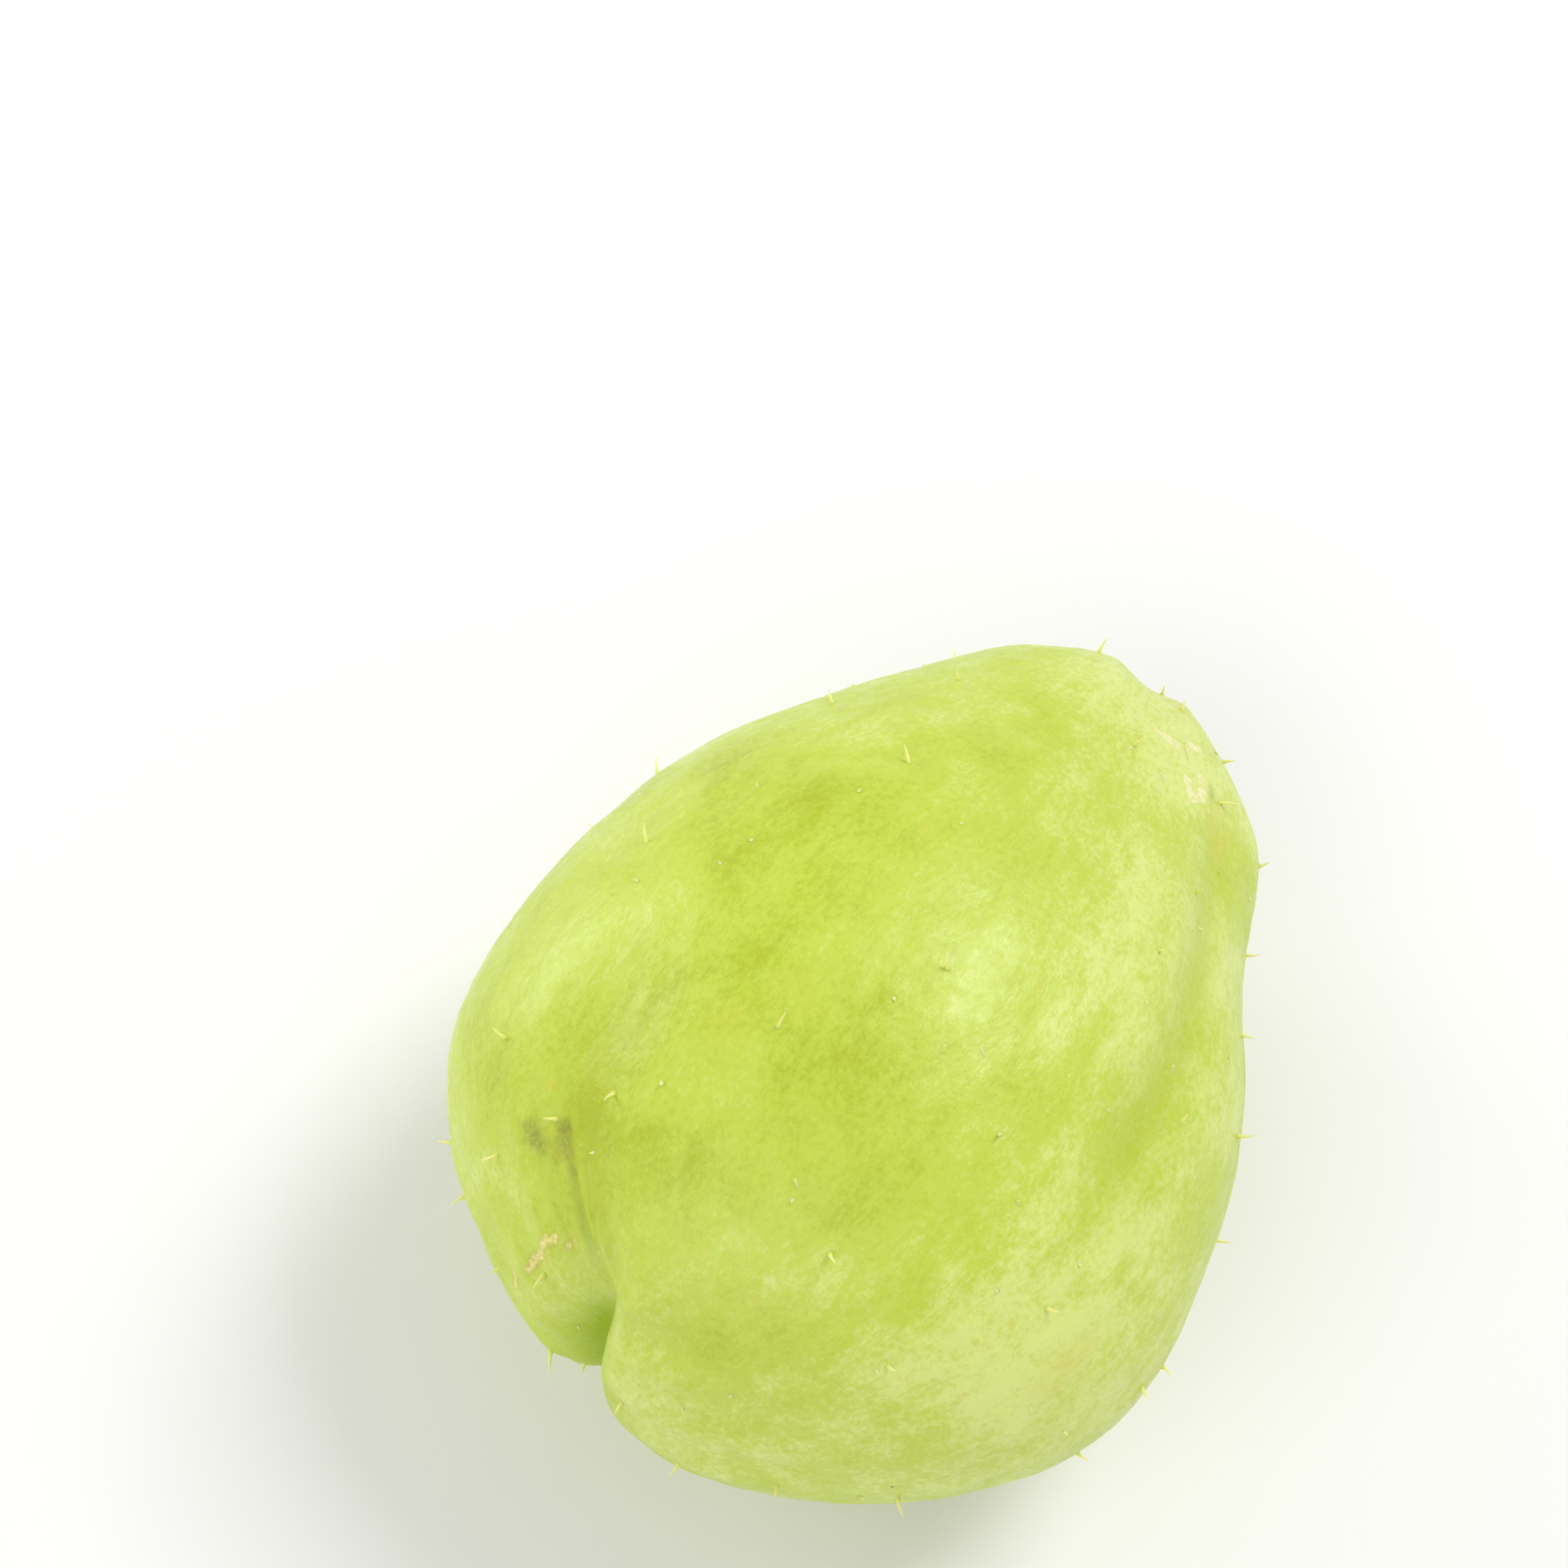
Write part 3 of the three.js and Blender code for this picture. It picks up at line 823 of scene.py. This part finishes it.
def skin_material(settings):
    """Waxy green skin with all its marks."""
    shader = Shader("chayote_skin")
    place = shader.place()
    long_place = shader.place((0.78, 1, 1))
    grain_place = shader.attribute("grain", "Vector")
    slit = shader.attribute("slit")
    patterns = dict(
        place=place,
        broad=shader.noise(long_place, 32, 3, 0.5, 0.3),
        cloud=shader.noise(long_place, 105, 6, 0.62, 0.35),
        fine=shader.noise(place, 1300, 4, 0.7),
        streaks=shader.noise(grain_place, 22, 5, 0.6),
        fibres=shader.noise(grain_place, 170, 3, 0.6),
    )
    colour = skin_greens(shader, settings, patterns)
    colour = soft_marks(shader, settings, patterns, colour)

    # the depth of the mouth: its deeper green, partly painted shade in the crease
    colour = shader.tint(colour, MOUTH_GREEN_AND_SHADE, slit, 0.75)

    colour, cork = rough_scars(shader, settings, patterns, colour)
    colour, scab = smooth_scars(shader, settings, patterns, colour)

    # the dry brown ring that the stalk's scar sits in
    stalk = shader.span(shader.attribute("stalk"), 0.5, 0.72)
    rays = shader.mix(shader.noise(grain_place, 3, 3), STALK_BROWN, STALK_TAN)
    colour = shader.mix(stalk, colour, rays)

    rough = shader.span(shader.noise(place, 420, 3), 0.35, 0.65, 0.34, 0.50)
    dry = shader.math("MAXIMUM", shader.math("MAXIMUM", cork, scab), stalk)
    rough = shader.math("ADD", rough, shader.times(dry, 0.4), clamp=True)
    rough = shader.math("ADD", rough, shader.times(slit, 0.35), clamp=True)

    normal = shader.bump(shader.noise(long_place, 430, 2, 0.45, 0.15), PEEL)
    leather = shader.noise(shader.place((0.6, 1, 1)), 1250, 2, 0.5, 0.1)
    normal = shader.bump(leather, LEATHER, 1.0, normal)
    normal = shader.bump(shader.noise(place, 3300, 2), PITS, 1.0, normal)
    normal = shader.bump(patterns["fibres"], FIBRE_RIDGES, 0.8, normal)
    normal = shader.bump(cork, CORK_RAISED, 0.7, normal)
    normal = shader.bump(scab, SCAB_RAISED, 0.7, normal)

    shader.body.subsurface_method = "RANDOM_WALK"
    shader.fill({"Base Color": colour, "Roughness": rough, "Normal": normal, **SKIN_SHEEN})
    return shader.material


class CHAYOTE_OT_skin(bpy.types.Operator):
    """Make the fruit's skin, with its mouth, furrows, dimple and scars"""

    bl_idname = "chayote.skin"
    bl_label = "Skin"

    def execute(self, context):
        settings = context.scene.chayote_skin
        deselect()
        bpy.ops.mesh.primitive_uv_sphere_add(segments=settings.rays, ring_count=settings.rings, radius=1)
        skin = start_piece("fruit_skin")
        shape_skin(skin)
        displace(skin, "lumps", LUMP_SIZE, settings.lump_height)
        displace(skin, "leather", GRAIN_SIZE, settings.grain_height)

        # nothing hangs under the flat spot
        points = read_points(skin)
        points[:, 2] = np.maximum(0, points[:, 2])
        write_points(skin, points)
        bpy.ops.object.shade_smooth()
        skin.data.materials.append(skin_material(settings))
        hand_over(skin)
        return {"FINISHED"}


# ---- the prickles

PRICKLE_SHEEN = {
    "Subsurface Weight": 0.6, "Subsurface Radius": (1.0, 0.9, 0.3), "Subsurface Scale": 1 * MM,
    "Specular IOR Level": 0.3,
}


def prickle_material(settings):
    """Cream prickles, green at the root and dry at the tip."""
    shader = Shader("chayote_prickle")
    tip = shader.attribute("tip")
    mottle = shader.noise(shader.place(), 1500, 2)
    share = shader.span(shader.math("ADD", tip, shader.times(mottle, 0.3)), 0.1, 0.75)
    colour = shader.mix(share, settings.root_colour, settings.tip_colour)
    rough = shader.span(mottle, 0.3, 0.7, 0.4, 0.6)
    shader.fill({"Base Color": colour, "Roughness": rough, **PRICKLE_SHEEN})
    return shader.material


PRICKLE_FOOT = -0.3         # how far a prickle reaches under the skin, as a share of its length
PRICKLE_CUTS = (-0.12, 0.0, 0.1, 0.24, 0.42, 0.62, 0.82)
PRICKLE_SIDES = 8
PRICKLE_BEND = 0.2          # how far its tip leans over, as a share of its length

TIP_GIRTH, BODY_GIRTH, BODY_POWER = 0.14, 0.86, 0.75
FLARE_GIRTH, FLARE_HEIGHT, ROOT_GROWTH = 0.6, 0.09, 1.2


def prickle_girth(height):
    """Its share of the root radius at this height, flared at the skin."""
    above = np.clip(height, 0, 1)
    girth = TIP_GIRTH + BODY_GIRTH * (1 - above) ** BODY_POWER
    girth = girth + FLARE_GIRTH * np.exp(-above / FLARE_HEIGHT)
    return girth - ROOT_GROWTH * np.minimum(0, height)


def make_prickle_master(dryness=0.0):
    """One prickle of unit length and root radius, on +Z."""
    deselect()
    depth = 1 - PRICKLE_FOOT
    bpy.ops.mesh.primitive_cone_add(
        vertices=PRICKLE_SIDES, radius1=1, radius2=0.1, depth=depth,
        location=(0, 0, PRICKLE_FOOT + depth / 2))
    master = start_piece("prickle_master")
    bpy.ops.object.transform_apply()
    bpy.ops.object.mode_set(mode="EDIT")
    for cut in PRICKLE_CUTS:
        bpy.ops.mesh.select_all(action="SELECT")
        bpy.ops.mesh.bisect(plane_co=(0, 0, cut), plane_no=(0, 0, 1))
    bpy.ops.object.mode_set(mode="OBJECT")
    points = read_points(master)
    height = points[:, 2]
    around = np.arctan2(points[:, 1], points[:, 0])
    points[:, 0] = np.cos(around) * prickle_girth(height)
    points[:, 1] = np.sin(around) * prickle_girth(height)
    write_points(master, points)
    write_attribute(master, "tip", height + dryness)
    return master


def place_prickle(master, foot, direction, sideways, length, radius):
    """A copy of the master at its seat, bent over a little at its tip."""
    prickle = master.copy()
    prickle.data = master.data.copy()
    bpy.context.scene.collection.objects.link(prickle)
    points = read_points(prickle)
    height = points[:, 2]
    third = direction.cross(sideways).normalized()
    second = third.cross(direction)
    bend = PRICKLE_BEND * length * np.maximum(0, height) ** 2
    world = np.array(foot) + np.outer(height * length, direction)
    world += np.outer(points[:, 0] * radius + bend, second) + np.outer(points[:, 1] * radius, third)
    write_points(prickle, world)
    return prickle


class CHAYOTE_OT_prickles(bpy.types.Operator):
    """Grow the soft prickles at the part's own seats"""

    bl_idname = "chayote.prickles"
    bl_label = "Prickles"

    def execute(self, context):
        settings = context.scene.chayote_prickles
        material = prickle_material(settings)
        master = make_prickle_master()
        context.view_layer.update()
        grown = [
            place_prickle(master, on_skin(foot), direction, sideways, length, settings.root_radius)
            for foot, direction, sideways, length in prickle_seats()
        ]
        bpy.data.objects.remove(master)
        join_pieces(grown, "soft_prickles", material)
        return {"FINISHED"}


# Old prickles that lie on the skin: along and turn in degrees of the foot, then of the tip
FALLEN = (
    (0.783, -31.5, 0.747, -33.2), (0.655, -25.3, 0.636, -27.2), (0.609, -24.7, 0.606, -27.5),
    (0.774, -11, 0.764, -12.2), (0.658, -14.7, 0.649, -14.2), (0.151, -39, 0.147, -40.1),
    (0.11, -51, 0.101, -51.7), (0.03, -41.8, 0.024, -42.7), (-0.175, -20.5, -0.185, -21.5),
    (-0.347, -38, -0.353, -38.8), (-0.446, -75.2, -0.454, -75.9), (-0.581, -10.7, -0.59, -11.8),
    (0.1, 95, 0.115, 96), (-0.4, 140, -0.392, 141.4), (0.5, 60, 0.487, 61), (0.4, -140, 0.414, -141),
)
FALLEN_GIRTH = 0.8          # share of the root radius of a prickle that stands
FALLEN_RISE = 0.22          # how far the tip rises from the skin, as a share of the length
FALLEN_SUNK = 0.08 * MM
FALLEN_DRYNESS = 0.3
STUBS = dict(seed=4057, height=0.4 * MM, spread=0.2 * MM, girth=0.75, lean=0.8, floor_clear=5 * MM)


def lay_prickle(master, ends, radius):
    """A prickle that lies on the skin from foot to tip, a little sunk."""
    foot_along, foot_turn, tip_along, tip_turn = ends
    foot, outward = prickle_at(foot_along, math.radians(foot_turn), 0, 0, 0)[:2]
    foot = on_skin(foot)
    tip = on_skin(prickle_at(tip_along, math.radians(tip_turn), 0, 0, 0)[0])
    direction = ((tip - foot).normalized() + FALLEN_RISE * outward).normalized()
    sunk_foot = foot - FALLEN_SUNK * outward
    return place_prickle(master, sunk_foot, direction, -outward, (tip - foot).length, FALLEN_GIRTH * radius)


def join_pieces(pieces, name, material):
    """Makes one piece of many, in one material."""
    deselect()
    for piece in pieces:
        piece.select_set(True)
    bpy.context.view_layer.objects.active = pieces[0]
    bpy.ops.object.join()
    joined = start_piece(name)
    bpy.ops.object.shade_smooth()
    joined.data.materials.clear()
    joined.data.materials.append(material)
    hand_over(joined)


class CHAYOTE_OT_stubs(bpy.types.Operator):
    """Scatter worn prickles and lay fallen ones on the skin"""

    bl_idname = "chayote.stubs"
    bl_label = "Stubs"

    def execute(self, context):
        settings = context.scene.chayote_prickles
        context.view_layer.update()
        draw = make_draw(STUBS["seed"])
        prickle = make_prickle_master(FALLEN_DRYNESS)
        pieces = [lay_prickle(prickle, ends, settings.root_radius) for ends in FALLEN]
        for i in range(settings.stubs):
            along = 1 - 2 * (i + draw()) / settings.stubs
            turn = 2 * math.pi * draw()
            lean_turn = 2 * math.pi * draw()
            lean = STUBS["lean"] * draw()
            foot, direction, sideways = prickle_at(along, turn, 0, lean_turn, lean)[:3]
            height = STUBS["height"] + STUBS["spread"] * (2 * draw() - 1)
            if foot.z > STUBS["floor_clear"]:
                girth = STUBS["girth"] * settings.root_radius
                pieces.append(place_prickle(prickle, on_skin(foot), direction, sideways, height, girth))
        bpy.data.objects.remove(prickle)
        join_pieces(pieces, "worn_stubs", prickle_material(settings))
        return {"FINISHED"}


# ---- the scar of the stalk

STALK = dict(
    radius=2 * MM, depth=2.4 * MM, proud=0.7 * MM, sides=30, lobes=5, lobe_height=0.06,
    edge_unrest=0.06, edge_waves=900, face_unrest=0.12 * MM, face_waves=1500, face_start=3,
    smoothing=3, rim_from=0.8, spokes=2,
)
STALK_DEEP, STALK_DRY, STALK_RIM = (0.30, 0.22, 0.07), (0.60, 0.52, 0.22), (0.44, 0.50, 0.10)

# The cut face, ring by ring, in mm: how far in, and how far it is lifted
STALK_FACE = ((0.22, 0.1), (0.3, -0.3), (0.5, 0.08), (0.45, -0.28))


def stalk_material():
    """Dry, fibrous stalk, tan with browner rays."""
    shader = Shader("chayote_stalk")
    spokes = shader.attribute("spokes", "Vector")
    fibres = shader.noise(spokes, 3.2, 4, 0.65, 0.3)
    pits = shader.noise(shader.place(), 2400, 3)
    tone = shader.mix(shader.span(fibres, 0.38, 0.62), STALK_DEEP, STALK_DRY)
    tone = shader.mix(shader.span(shader.attribute("rim"), 0.0, 1.0, 0.0, 0.65), tone, STALK_RIM)
    rough = shader.span(pits, 0.3, 0.7, 0.65, 0.9)
    normal = shader.bump(pits, 0.1 * MM, 0.8, shader.bump(fibres, 0.25 * MM, 0.9))
    shader.fill({"Base Color": tone, "Roughness": rough, "Normal": normal})
    return shader.material


class CHAYOTE_OT_stalk_scar(bpy.types.Operator):
    """Set the dry scar of the stalk in the bottom of the stem dimple"""

    bl_idname = "chayote.stalk_scar"
    bl_label = "Stalk scar"

    def execute(self, context):
        deselect()
        bpy.ops.mesh.primitive_cylinder_add(
            vertices=STALK["sides"], radius=STALK["radius"], depth=STALK["depth"],
            location=(0, 0, STALK["proud"] - STALK["depth"] / 2))
        scar = start_piece("stalk_scar")
        bpy.ops.object.transform_apply()
        bpy.ops.object.mode_set(mode="EDIT")
        bpy.ops.mesh.select_mode(type="FACE")
        bpy.ops.mesh.select_all(action="DESELECT")
        bpy.ops.object.mode_set(mode="OBJECT")
        for face in scar.data.polygons:
            face.select = face.normal.z > 0.9
        bpy.ops.object.mode_set(mode="EDIT")
        for thickness, lift in STALK_FACE:
            bpy.ops.mesh.inset(thickness=thickness * MM)
            bpy.ops.transform.translate(value=(0, 0, lift * MM))
        bpy.ops.object.mode_set(mode="OBJECT")
        smooth = scar.modifiers.new("round", "SUBSURF")
        smooth.levels = STALK["smoothing"]
        smooth.render_levels = STALK["smoothing"]
        bpy.ops.object.modifier_apply(modifier="round")
        points = read_points(scar)
        around = np.arctan2(points[:, 1], points[:, 0])
        out = np.hypot(points[:, 0], points[:, 1]) / STALK["radius"]
        unrest = STALK["edge_unrest"] * noise_at(points * STALK["edge_waves"])
        lobes = STALK["lobe_height"] * np.cos(STALK["lobes"] * around)
        points[:, :2] *= (1 + lobes + unrest)[:, None]
        roughness = noise_at(points * STALK["face_waves"] + STALK["face_start"])
        points[:, 2] += STALK["face_unrest"] * roughness * out
        spokes = np.stack([np.cos(around), np.sin(around), out], axis=-1) * STALK["spokes"]
        write_attribute(scar, "spokes", spokes)
        write_attribute(scar, "rim", ease(STALK["rim_from"], 1.0, out))
        pole = np.array([[1.0, 0.0, 0.0]])
        outward = Vector(skin_normals(pole)[0])
        turned = points @ np.array(outward.to_track_quat("Z", "Y").to_matrix()).T
        write_points(scar, turned + skin_points(pole)[0])
        bpy.ops.object.shade_smooth()
        scar.data.materials.append(stalk_material())
        hand_over(scar)
        return {"FINISHED"}


# ---- the stage

VIEW = dict(
    heading=math.radians(-53.694), tilt=math.radians(62), lens=65.2, sensor=36.0,
    location=(-107.2 * MM, -62.37 * MM, 327.8 * MM),
)


def view_side():
    """The camera's right and forward, level with the floor."""
    heading = VIEW["heading"]
    right = Vector((math.cos(heading), math.sin(heading), 0))
    return right, Vector((-math.sin(heading), math.cos(heading), 0))


# Soft square lights: how far right, forward and up of the fruit each lies, its distance, its side
LIGHTS = dict(
    key=(0.5, 0.3, 0.8, 0.9, 0.36),
    side=(-0.84, 0.52, 0.25, 0.9, 0.4),
    front=(-0.45, -0.6, 0.55, 1.1, 1.0),
)
SKY_STRENGTH = 0.52
FLOOR_DROP = 0.05 * MM      # keeps the floor just clear of the flat spot
NEAR_CLIP = 0.01


def soft_light(name, power):
    """A soft light that looks at the fruit's middle."""
    right_share, forward_share, up_share, distance, size = LIGHTS[name]
    right, forward = view_side()
    bearing = right * right_share + forward * forward_share + Vector((0, 0, up_share))
    bearing.normalize()
    bpy.ops.object.light_add(type="AREA", location=MIDDLE + bearing * distance)
    lamp = bpy.context.active_object
    lamp.name = name + "_light"
    lamp.rotation_euler = bearing.to_track_quat("Z", "Y").to_euler()
    lamp.data.shape = "SQUARE"
    lamp.data.size = size
    lamp.data.energy = power


def floor_material(colour):
    """A dull pale floor, very faintly clouded."""
    shader = Shader("pale_floor")
    shade = shader.noise(shader.place(), 9, 2)
    tone = shader.mix(shade, colour, [0.985 * c for c in colour])
    shader.fill({"Base Color": tone, "Roughness": 0.75, "Specular IOR Level": 0.2})
    return shader.material


class CHAYOTE_OT_stage(bpy.types.Operator):
    """Lay the pale floor, hang the soft lights and set up the camera"""

    bl_idname = "chayote.stage"
    bl_label = "Stage"

    def execute(self, context):
        settings = context.scene.chayote_stage
        deselect()
        bpy.ops.mesh.primitive_plane_add(size=settings.floor_size, location=(0, 0, -FLOOR_DROP))
        floor = start_piece("floor")
        floor.data.materials.append(floor_material(settings.floor_colour))

        for name in LIGHTS:
            soft_light(name, getattr(settings, name + "_power"))
        world = bpy.data.worlds.new("studio")
        world.use_nodes = True
        sky = world.node_tree.nodes["Background"].inputs
        sky["Color"].default_value = (1, 1, 1, 1)
        sky["Strength"].default_value = SKY_STRENGTH
        context.scene.world = world

        bpy.ops.object.camera_add(
            location=VIEW["location"],
            rotation=(math.pi / 2 - VIEW["tilt"], 0, VIEW["heading"]))
        camera = context.active_object
        camera.name = "camera"
        camera.data.sensor_width = VIEW["sensor"]
        camera.data.lens = VIEW["lens"]
        camera.data.clip_start = NEAR_CLIP
        context.scene.camera = camera
        context.scene.view_settings.view_transform = "Standard"
        return {"FINISHED"}


class CHAYOTE_PT_panel(bpy.types.Panel):
    """Sizes, colours and steps of the chayote squash"""

    bl_idname = "CHAYOTE_PT_panel"
    bl_label = "Chayote squash"
    bl_space_type = "VIEW_3D"
    bl_region_type = "UI"
    bl_category = "Chayote"

    def draw(self, context):
        steps = (
            ("chayote.skin", context.scene.chayote_skin),
            ("chayote.prickles", context.scene.chayote_prickles),
            ("chayote.stubs", None),
            ("chayote.stalk_scar", None),
            ("chayote.stage", context.scene.chayote_stage),
        )
        for step, settings in steps:
            box = self.layout.box()
            box.operator(step)
            for name in settings.__annotations__ if settings else ():
                box.prop(settings, name)


CLASSES = (
    ChayoteSkinSettings, ChayotePrickleSettings, ChayoteStageSettings,
    CHAYOTE_OT_skin, CHAYOTE_OT_prickles, CHAYOTE_OT_stubs, CHAYOTE_OT_stalk_scar, CHAYOTE_OT_stage,
    CHAYOTE_PT_panel,
)


def register():
    for each in CLASSES:
        bpy.utils.register_class(each)
    bpy.types.Scene.chayote_skin = PointerProperty(type=ChayoteSkinSettings)
    bpy.types.Scene.chayote_prickles = PointerProperty(type=ChayotePrickleSettings)
    bpy.types.Scene.chayote_stage = PointerProperty(type=ChayoteStageSettings)


def unregister():
    del bpy.types.Scene.chayote_stage
    del bpy.types.Scene.chayote_prickles
    del bpy.types.Scene.chayote_skin
    for each in reversed(CLASSES):
        bpy.utils.unregister_class(each)


def main():
    """Makes every piece and the stage."""
    register()
    bpy.ops.chayote.skin()
    bpy.ops.chayote.prickles()
    bpy.ops.chayote.stubs()
    bpy.ops.chayote.stalk_scar()
    bpy.ops.chayote.stage()


if __name__ == "__main__":
    main()
